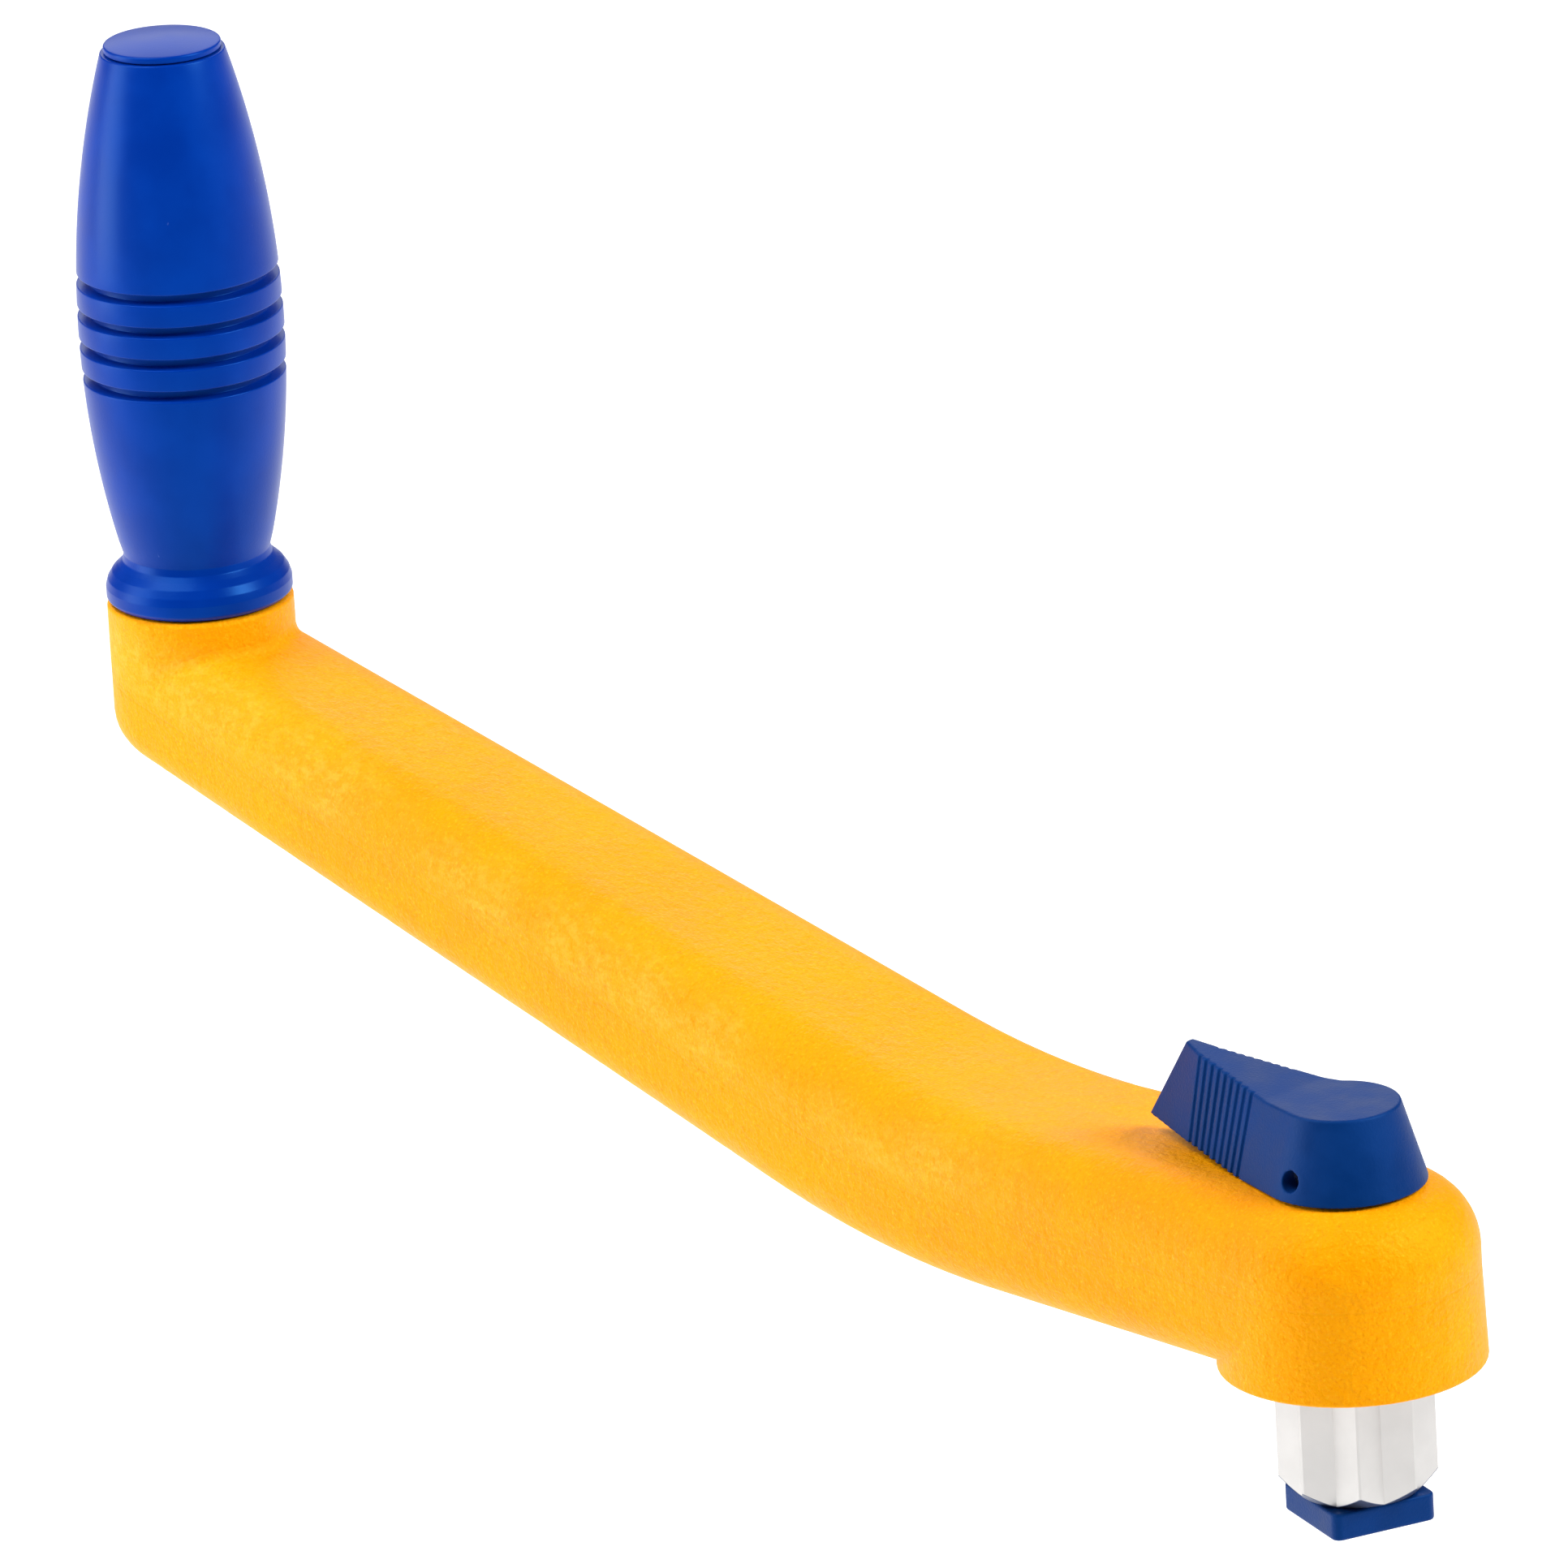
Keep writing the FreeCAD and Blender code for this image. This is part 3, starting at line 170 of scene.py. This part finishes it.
class Finish:
    """A material whose shader inputs are filled by small node chains in object space."""

    def __init__(self, name, **sockets):
        self.material = bpy.data.materials.new(name)
        self.material.use_nodes = True
        self.tree = self.material.node_tree
        self.tree.nodes.clear()
        output = self.tree.nodes.new("ShaderNodeOutputMaterial")
        self.shader = self.tree.nodes.new("ShaderNodeBsdfPrincipled")
        self.tree.links.new(self.shader.outputs[0], output.inputs[0])
        self.coords = self.tree.nodes.new("ShaderNodeTexCoord").outputs["Object"]
        for socket, value in sockets.items():
            self.shader.inputs[socket.replace("_", " ")].default_value = value

    def node(self, kind, *inputs, **settings):
        """A new node; inputs are values or sockets in the node's own order, None to leave one alone."""
        made = self.tree.nodes.new("ShaderNode" + kind)
        for setting, value in settings.items():
            setattr(made, setting, value)
        for socket, value in zip(made.inputs, inputs):
            self.fill(socket, value)
        return made

    def fill(self, socket, value):
        """Sets a socket to a value, or links it to another socket."""
        if isinstance(value, bpy.types.NodeSocket):
            self.tree.links.new(value, socket)
        elif value is not None:
            socket.default_value = value

    def math(self, operation, *inputs):
        return self.node("Math", *inputs, operation=operation).outputs[0]

    def stretched(self, scale):
        """Object coordinates stretched by a factor on each axis."""
        return self.node("Mapping", self.coords, None, None, scale).outputs[0]

    def noise(self, feature, detail=2.0, roughness=0.5, coords=None):
        """Noise whose lumps are about this size, in metres."""
        made = self.node("TexNoise")
        self.fill(made.inputs["Vector"], coords or self.coords)
        made.inputs["Scale"].default_value = 1.0 / feature
        made.inputs["Detail"].default_value = detail
        made.inputs["Roughness"].default_value = roughness
        return made.outputs[0]

    def graded(self, value, low, high, to_low=0.0, to_high=1.0):
        """The value mapped smoothly from low..high to to_low..to_high."""
        made = self.node("MapRange", value, low, high, to_low, to_high, interpolation_type="SMOOTHSTEP")
        return made.outputs[0]

    def blended(self, share, first, second):
        """A colour between two others."""
        made = self.node("Mix", share, data_type="RGBA")
        ends = [s for s in made.inputs if s.type == "RGBA"]
        self.fill(ends[0], first)
        self.fill(ends[1], second)
        return [s for s in made.outputs if s.type == "RGBA"][0]

    def raised(self, height, distance, below=None, strength=1.0):
        """A normal that reads height as relief of this depth in metres, on top of another."""
        made = self.node("Bump", strength, distance)
        self.fill(made.inputs["Height"], height)
        self.fill(made.inputs["Normal"], below)
        return made.outputs[0]

    def use(self, **links):
        for socket, value in links.items():
            self.fill(self.shader.inputs[socket.replace("_", " ")], value)
        return self.material


def colour(red, green, blue):
    """An sRGB colour, each part 0 to 255, as linear RGBA."""
    def linear(part):
        share = part / 255
        return share / 12.92 if share <= 0.04045 else ((share + 0.055) / 1.055) ** 2.4
    return (linear(red), linear(green), linear(blue), 1.0)


def parting_distance(finish):
    """Height above the line where the two halves of the arm meet."""
    x, _, z = finish.node("SeparateXYZ", finish.coords).outputs
    from_grip = finish.math("SUBTRACT", x, GRIP_X)
    slope_z = finish.math("MULTIPLY_ADD", from_grip, -PARTING_SLOPE, PARTING_GRIP_Z)
    line_z = finish.math("SMOOTH_MAX", slope_z, PARTING_HEAD_Z, PARTING_SOFTNESS)
    return finish.math("SUBTRACT", z, line_z)


def wear_and_highlight_share(finish, above, creases):
    """How pale the arm is made: patches of creases in a band along its sides, up to the head, partly wear
    and partly a painted highlight.
    """
    along = finish.node("SeparateXYZ", finish.coords).outputs[0]
    off_shoulder = finish.math("ABSOLUTE", finish.math("SUBTRACT", above, SHOULDER_HEIGHT))
    patches = finish.graded(finish.noise(24 * MM, 2), 0.32, 0.58)
    worn_and_lit = finish.math("MULTIPLY", patches, finish.graded(off_shoulder, *WEAR_AND_HIGHLIGHT_FADE))
    worn_and_lit = finish.math("MULTIPLY", worn_and_lit, finish.graded(creases, 0.42, 0.68, 0.08, 0.38))
    return finish.math("MULTIPLY", worn_and_lit, finish.graded(along, *WEAR_AND_HIGHLIGHT_END_X))


def arm_finish():
    """Matte orange-yellow nylon: fine grain, cloudy flow marks, a witness line and worn sides with a
    painted highlight band.
    """
    finish = Finish("arm_nylon", IOR=1.5, Specular_IOR_Level=0.28, Specular_Tint=(1.0, 0.7, 0.08, 1.0))
    clouds = finish.noise(9 * MM, 5, 0.62)
    drift = finish.noise(45 * MM, 2)
    speckle = finish.noise(0.5 * MM, 3, 0.7)
    tone = finish.blended(finish.graded(clouds, 0.3, 0.72), colour(252, 153, 0), colour(255, 162, 1))
    tone = finish.blended(finish.graded(drift, 0.35, 0.7, 0.0, 0.55), tone, colour(255, 168, 2))
    tone = finish.blended(finish.graded(speckle, 0.54, 0.72, 0.0, 0.6), tone, colour(255, 190, 30))
    tone = finish.blended(finish.graded(speckle, 0.46, 0.3, 0.0, 0.6), tone, colour(240, 132, 0))
    above = parting_distance(finish)
    away = finish.math("ABSOLUTE", above)
    line = finish.graded(away, 0.32 * MM, 0.08 * MM)
    tone = finish.blended(finish.math("MULTIPLY", line, 0.14), tone, colour(220, 138, 0))
    creases = finish.noise(1.5 * MM, 4, 0.66, finish.stretched((0.7, 1.0, 1.0)))
    # the pale band: wear on the sides, with a painted highlight along them
    tone = finish.blended(wear_and_highlight_share(finish, above, creases), tone, colour(255, 202, 80))
    grain = finish.noise(0.55 * MM, 2, 0.6)
    pebbles = finish.noise(1.7 * MM, 2)
    normal = finish.raised(grain, 0.15 * MM)
    normal = finish.raised(pebbles, 0.3 * MM, normal)
    normal = finish.raised(creases, 0.1 * MM, normal)
    normal = finish.raised(finish.math("MULTIPLY", line, -1.0), 0.03 * MM, normal)
    rough = finish.graded(clouds, *MIDDLE, 0.44, 0.58)
    return finish.use(Base_Color=tone, Roughness=rough, Normal=normal)


def moulded_blue(name, deep, pale, grain_depth, roughness):
    """Blue plastic with a fine moulded grain and slight clouding."""
    finish = Finish(name, IOR=1.5, Specular_IOR_Level=0.35, Specular_Tint=(0.08, 0.35, 1.0, 1.0))
    clouds = finish.noise(7 * MM, 3)
    speckle = finish.noise(0.5 * MM, 2, 0.7)
    tone = finish.blended(finish.graded(clouds, *MIDDLE), deep, pale)
    tone = finish.blended(finish.graded(speckle, 0.6, 0.85, 0.0, 0.35), tone, pale)
    tone = finish.blended(finish.graded(speckle, 0.42, 0.2, 0.0, 0.35), tone, deep)
    grain = finish.noise(0.42 * MM, 2, 0.6)
    rough = finish.graded(clouds, *MIDDLE, roughness - 0.05, roughness + 0.05)
    return finish.use(Base_Color=tone, Roughness=rough, Normal=finish.raised(grain, grain_depth))


def lock_finish():
    """The muted blue nylon of the lever and the lock plate."""
    return moulded_blue("lock_nylon", colour(1, 42, 102), colour(4, 48, 112), 0.05 * MM, 0.5)


def grip_finish():
    """The smoother, deeper blue of the grip, with a soft sheen and a few handling marks."""
    finish = Finish("grip_plastic", IOR=1.5, Specular_IOR_Level=0.35, Specular_Tint=(0.05, 0.4, 1.0, 1.0))
    clouds = finish.noise(12 * MM, 3)
    tone = finish.blended(finish.graded(clouds, *MIDDLE), colour(0, 45, 143), colour(0, 52, 155))
    marks = finish.noise(1.3 * MM, 2, 0.6, finish.stretched((1.0, 1.0, 0.35)))
    tone = finish.blended(finish.graded(marks, 0.77, 0.83, 0.0, 0.45), tone, colour(120, 150, 225))
    grain = finish.noise(0.4 * MM, 2, 0.6)
    rough = finish.graded(clouds, *MIDDLE, 0.3, 0.36)
    return finish.use(Base_Color=tone, Roughness=rough, Normal=finish.raised(grain, 0.012 * MM))


def taper_shade_share(finish):
    """1 on the turned faces that taper the star's tips, where shade is painted, 0 on its flanks."""
    x, y, z = finish.node("SeparateXYZ", finish.coords).outputs
    radius = finish.math("SQRT", finish.math("MULTIPLY_ADD", x, x, finish.math("MULTIPLY", y, y)))
    height = finish.math("SUBTRACT", z, STAR_FOOT_Z)
    cone = finish.math("MULTIPLY_ADD", height, STAR_TAPER, STAR_FOOT_RADIUS)
    return finish.graded(finish.math("SUBTRACT", cone, radius), 0.2 * MM, 0.08 * MM)


def star_finish():
    """Bead-blasted light alloy, nearly white, with painted shade and a painted reflection of the blue
    plate on the turned faces at the tips' lead-in.
    """
    finish = Finish("star_alloy", Metallic=0.9, IOR=1.5)
    clouds = finish.noise(6 * MM, 3)
    tone = finish.blended(finish.graded(clouds, *MIDDLE), colour(197, 195, 193), colour(203, 201, 199))
    # painted shade, tinted by a painted reflection of the blue plate, on the turned lead-in faces
    tone = finish.blended(taper_shade_share(finish), tone, colour(92, 100, 122))
    blast = finish.noise(0.3 * MM, 2, 0.7)
    rough = finish.graded(clouds, *MIDDLE, 0.3, 0.34)
    return finish.use(Base_Color=tone, Roughness=rough, Normal=finish.raised(blast, 0.004 * MM))


def steel_finish():
    """Drawn stainless steel with fine turning marks."""
    finish = Finish("stainless_steel", Metallic=1.0)
    lines = finish.noise(0.12 * MM, 2, 0.6, finish.stretched((0.12, 0.12, 1.0)))
    stain = finish.noise(4 * MM, 3)
    tone = finish.blended(finish.graded(stain, *MIDDLE), colour(186, 188, 190), colour(208, 209, 210))
    rough = finish.graded(lines, *MIDDLE, 0.22, 0.38)
    return finish.use(Base_Color=tone, Roughness=rough, Normal=finish.raised(lines, 0.004 * MM))


def bearing_finish():
    """Machined black acetal."""
    finish = Finish("acetal", IOR=1.48)
    rings = finish.noise(0.25 * MM, 2, 0.5, finish.stretched((0.2, 0.2, 1.0)))
    clouds = finish.noise(5 * MM, 2)
    tone = finish.blended(finish.graded(clouds, *MIDDLE), colour(34, 35, 38), colour(52, 53, 56))
    rough = finish.graded(rings, *MIDDLE, 0.34, 0.48)
    return finish.use(Base_Color=tone, Roughness=rough, Normal=finish.raised(rings, 0.006 * MM))


def seal_finish():
    """Moulded nitrile rubber."""
    finish = Finish("nitrile_rubber", IOR=1.5)
    bloom = finish.noise(1.5 * MM, 3)
    tone = finish.blended(finish.graded(bloom, 0.35, 0.75), colour(20, 20, 21), colour(38, 37, 37))
    rough = finish.graded(bloom, *MIDDLE, 0.6, 0.8)
    return finish.use(Base_Color=tone, Roughness=rough, Normal=finish.raised(bloom, 0.02 * MM))


def foam_finish():
    """Closed-cell foam: pale, with small cells."""
    finish = Finish("closed_cell_foam", IOR=1.4)
    cells = finish.node("TexVoronoi")
    finish.fill(cells.inputs["Vector"], finish.coords)
    cells.inputs["Scale"].default_value = 1 / (1.1 * MM)
    hollow = cells.outputs["Distance"]
    tone = finish.blended(finish.graded(hollow, 0.0, 0.6), colour(206, 200, 182), colour(238, 234, 222))
    rough = finish.graded(hollow, 0.0, 0.6, 0.95, 0.8)
    return finish.use(Base_Color=tone, Roughness=rough, Normal=finish.raised(hollow, 0.25 * MM))


FINISHES = {
    "arm_shell": arm_finish(),
    "foam": foam_finish(),
    "star_metal": star_finish(),
    "bearing_plastic": bearing_finish(),
    "seal_rubber": seal_finish(),
    "steel": steel_finish(),
    "lock_plastic": lock_finish(),
    "grip_plastic": grip_finish(),
}
NODE_SLOTS = {s["node"]: s["material_slot"] for s in frame["record"]["subparts"]}


def paint_cad_nodes():
    """Every CAD node gets the finish of its slot."""
    for name, piece in NODES.items():
        piece.data.materials.clear()
        piece.data.materials.append(FINISHES[NODE_SLOTS[name]])


# --- Pieces ---

def new_piece(name, mesh, node, body=None):
    """A finished piece that stands for a CAD node, and rides on its body if one is given."""
    piece = bpy.data.objects.new(name, mesh)
    bpy.context.scene.collection.objects.link(piece)
    slot = NODE_SLOTS[node]
    mesh.materials.clear()
    mesh.materials.append(FINISHES[slot])
    for face in mesh.polygons:
        face.use_smooth = True
    if body:
        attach(piece, body)
    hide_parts(node)
    return piece


def applied(piece):
    """The piece's mesh with its modifiers worked in."""
    bpy.context.view_layer.update()
    graph = bpy.context.evaluated_depsgraph_get()
    mesh = bpy.data.meshes.new_from_object(piece.evaluated_get(graph), depsgraph=graph)
    mesh.name = piece.name
    return mesh


def soft_piece(node, name, body, voxel, rounds):
    """A copy of a CAD node, meshed evenly and with its edges softened, in the node's place."""
    work = bpy.data.objects.new(name, NODES[node].data.copy())
    bpy.context.scene.collection.objects.link(work)
    remesh = work.modifiers.new("even", "REMESH")
    remesh.mode = "VOXEL"
    remesh.voxel_size = voxel
    soften = work.modifiers.new("soften", "SMOOTH")
    soften.factor = 0.5
    soften.iterations = rounds
    mesh = applied(work)
    bpy.data.objects.remove(work)
    new_piece(name, mesh, node, body)


def spring_piece():
    """The return spring, copied in place from its CAD node; on the real handle it winds as the lock turns,
    its upper leg staying and its lower leg turning.
    """
    spring = new_piece("winding_spring", NODES["return_spring"].data.copy(), "return_spring")
    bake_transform(spring)


def lathe(name, profile):
    """A closed ring mesh about the grip's axis from (radius, height) points; radius 0 lies on the axis."""
    shape = bmesh.new()
    rings = []
    for radius, z in profile:
        spokes = TURNED_SEGMENTS if radius > 0 else 1
        turns = [2 * math.pi * i / TURNED_SEGMENTS for i in range(spokes)]
        places = [(GRIP_X + radius * math.cos(turn), radius * math.sin(turn), z) for turn in turns]
        rings.append([shape.verts.new(place) for place in places])
    if profile[0][0] > 0:
        rings.append(rings[0])
    for lower, upper in zip(rings, rings[1:]):
        for i in range(TURNED_SEGMENTS):
            j = (i + 1) % TURNED_SEGMENTS
            below = [lower[i % len(lower)], lower[j % len(lower)]]
            above = [upper[j % len(upper)], upper[i % len(upper)]]
            shape.faces.new(list(dict.fromkeys(below + above)))
    bmesh.ops.recalc_face_normals(shape, faces=shape.faces)
    mesh = bpy.data.meshes.new(name)
    shape.to_mesh(mesh)
    shape.free()
    return mesh


def rounded_profile(corners):
    """The points of an outline of (radius, height, rounding) corners, each rounded by its own radius."""
    points = []
    for i, (radius, z, rounding) in enumerate(corners):
        here = Vector((radius, z))
        if rounding == 0:
            points.append((radius, z))
            continue
        back = Vector(corners[i - 1][:2]) - here
        ahead = Vector(corners[(i + 1) % len(corners)][:2]) - here
        half_turn = math.tan(back.angle(ahead) / 2)
        reach = min(rounding / half_turn, ROUNDING_REACH * back.length, ROUNDING_REACH * ahead.length)
        start, end = here + back.normalized() * reach, here + ahead.normalized() * reach
        for step in range(ROUNDING_STEPS + 1):
            share = step / ROUNDING_STEPS
            point = start.lerp(here, share).lerp(here.lerp(end, share), share)
            points.append((point.x, point.y))
    return points


def barrel_radius(z):
    """Radius of the grip's barrel at a height: widest at the belly, an arc either side."""
    other = Vector((NECK_RADIUS, NECK_Z)) if z < BELLY_Z else Vector((GRIP_TOP_RADIUS, GRIP_TOP_Z))
    drop = BELLY_RADIUS - other.x
    span = other.y - BELLY_Z
    arc = (span ** 2 + drop ** 2) / (2 * drop)
    return BELLY_RADIUS - arc + math.sqrt(arc ** 2 - (z - BELLY_Z) ** 2)


def groove_corners(z):
    """One groove's outline from below: lip, floor, lip."""
    floor = barrel_radius(z) - GROOVE_DEPTH
    low, high = z - GROOVE_MOUTH / 2, z + GROOVE_MOUTH / 2
    return [
        (barrel_radius(low), low, GROOVE_LIP),
        (floor, z - GROOVE_FLOOR / 2, GROOVE_LIP),
        (floor, z + GROOVE_FLOOR / 2, GROOVE_LIP),
        (barrel_radius(high), high, GROOVE_LIP),
    ]


def barrel_points(low, high):
    """Corners without rounding along the barrel between two heights."""
    count = max(2, round((high - low) / BARREL_SPACING))
    heights = [low + (high - low) * i / count for i in range(1, count)]
    return [(barrel_radius(z), z, 0) for z in heights]


def grip_piece():
    """The grip sleeve, turned finely: collar, throat, barrel, soft-edged grooves and the nut pocket."""
    foot = GRIP_FOOT_Z
    corners = [(COLLAR_RADIUS - inset, foot + rise, rounding) for inset, rise, rounding in COLLAR_CORNERS]
    corners += [
        (NECK_RADIUS + NECK_FOOT[0], foot + NECK_FOOT[1], NECK_FOOT[2]),
        (NECK_RADIUS, NECK_Z + NECK_LIP[0], NECK_LIP[1]),
    ]
    low = NECK_Z + BARREL_START
    for i in range(GROOVE_COUNT):
        groove_z = GROOVE_FIRST_Z + i * GROOVE_PITCH
        corners += barrel_points(low, groove_z - GROOVE_MOUTH / 2 - GROOVE_LIP)
        corners += groove_corners(groove_z)
        low = groove_z + GROOVE_MOUTH / 2 + GROOVE_LIP
    corners += barrel_points(low, GRIP_TOP_Z - BARREL_END)
    corners += [
        (GRIP_TOP_RADIUS, GRIP_TOP_Z, GRIP_TOP_ROUNDING),
        (POCKET_RADIUS, GRIP_TOP_Z, POCKET_ROUNDING),
        (POCKET_RADIUS, POCKET_FLOOR_Z, 0),
        (GRIP_BORE_RADIUS, POCKET_FLOOR_Z, 0),
        (GRIP_BORE_RADIUS, foot, BORE_ROUNDING),
    ]
    new_piece("grip_barrel", lathe("grip_barrel", rounded_profile(corners)), "grip_sleeve", "grip")


def cap_piece():
    """The end cap: a shallow dome with a softened rim, and its skirt in the pocket."""
    skirt_z, crown_z = CAP_BOX[0].z, CAP_BOX[1].z
    under_z = GRIP_TOP_Z + CAP_GAP
    rim_z = crown_z - CAP_CROWN_RISE
    outer, inner = CAP_SKIRT
    corners = [
        (0, under_z, 0),
        (inner, under_z, 0),
        (inner, skirt_z, CAP_SKIRT_ROUNDING),
        (outer, skirt_z, CAP_SKIRT_ROUNDING),
        (outer, under_z, 0),
        (CAP_RIM_RADIUS, under_z, CAP_RIM_ROUNDING[0]),
        (CAP_RIM_RADIUS, rim_z, CAP_RIM_ROUNDING[1]),
    ]
    for i in range(1, CAP_CROWN_STEPS):
        share = 1 - i / CAP_CROWN_STEPS
        corners.append((CAP_RIM_RADIUS * share, crown_z - CAP_CROWN_RISE * share ** 2, 0))
    corners.append((0, crown_z, 0))
    new_piece("cap_dome", lathe("cap_dome", rounded_profile(corners)), "grip_end_cap", "grip")


def camera():
    """A view down from the head's side, with a long lens."""
    yaw, pitch, roll = (math.radians(a) for a in (CAMERA_YAW_DEG, CAMERA_PITCH_DEG, CAMERA_ROLL_DEG))
    ahead = Vector((-math.sin(yaw) * math.cos(pitch), math.cos(yaw) * math.cos(pitch), -math.sin(pitch)))
    level = Vector((math.cos(yaw), math.sin(yaw), 0))
    upright = level.cross(ahead)
    right = level * math.cos(roll) + upright * math.sin(roll)
    up = upright * math.cos(roll) - level * math.sin(roll)
    lens = bpy.data.cameras.new("camera")
    lens.lens = CAMERA_LENS_MM
    lens.sensor_width = CAMERA_SENSOR_MM
    lens.clip_end = VIEW_REACH
    eye = bpy.data.objects.new("camera", lens)
    bpy.context.scene.collection.objects.link(eye)
    turn = Matrix((right, up, -ahead)).transposed()
    eye.matrix_world = Matrix.Translation(CAMERA_PLACE) @ turn.to_4x4()
    bpy.context.scene.camera = eye


def studio():
    """A pale floor far below, a white surround and broad soft lights."""
    scene = bpy.context.scene
    scene.view_settings.view_transform = "Standard"
    world = bpy.data.worlds.new("studio")
    world.use_nodes = True
    surround = world.node_tree.nodes["Background"]
    surround.inputs["Color"].default_value = (1, 1, 1, 1)
    surround.inputs["Strength"].default_value = WORLD_STRENGTH
    scene.world = world
    bed = bmesh.new()
    half = FLOOR_SIZE / 2
    z = cad_box[0][2] - FLOOR_DROP
    corners = ((-half, -half), (half, -half), (half, half), (-half, half))
    bed.faces.new([bed.verts.new((x, y, z)) for x, y in corners])
    mesh = bpy.data.meshes.new("floor")
    bed.to_mesh(mesh)
    bed.free()
    floor = bpy.data.objects.new("floor", mesh)
    scene.collection.objects.link(floor)
    paper = Finish("floor_paper", Roughness=0.9, Specular_IOR_Level=0.1, Emission_Strength=FLOOR_GLOW,
                   Emission_Color=(1, 1, 1, 1))
    fibre = paper.noise(0.4, 2)
    tone = paper.blended(paper.graded(fibre, *MIDDLE), colour(196, 196, 196), colour(200, 200, 200))
    mesh.materials.append(paper.use(Base_Color=tone))
    for name, place, target, size, power in LIGHTS:
        lamp = bpy.data.lights.new(name, "AREA")
        lamp.shape = "RECTANGLE"
        lamp.size, lamp.size_y = size
        lamp.energy = power
        holder = bpy.data.objects.new(name, lamp)
        scene.collection.objects.link(holder)
        aim = (Vector(target) - Vector(place)).to_track_quat("-Z", "Y")
        holder.matrix_world = Matrix.Translation(Vector(place)) @ aim.to_matrix().to_4x4()


paint_cad_nodes()
grip_piece()
cap_piece()
soft_piece("lock_lever", "thumb_lever", "lock", LEVER_VOXEL, LEVER_SMOOTHING)
soft_piece("lock_plate", "square_plate", "lock", PLATE_VOXEL, PLATE_SMOOTHING)
spring_piece()
camera()
studio()
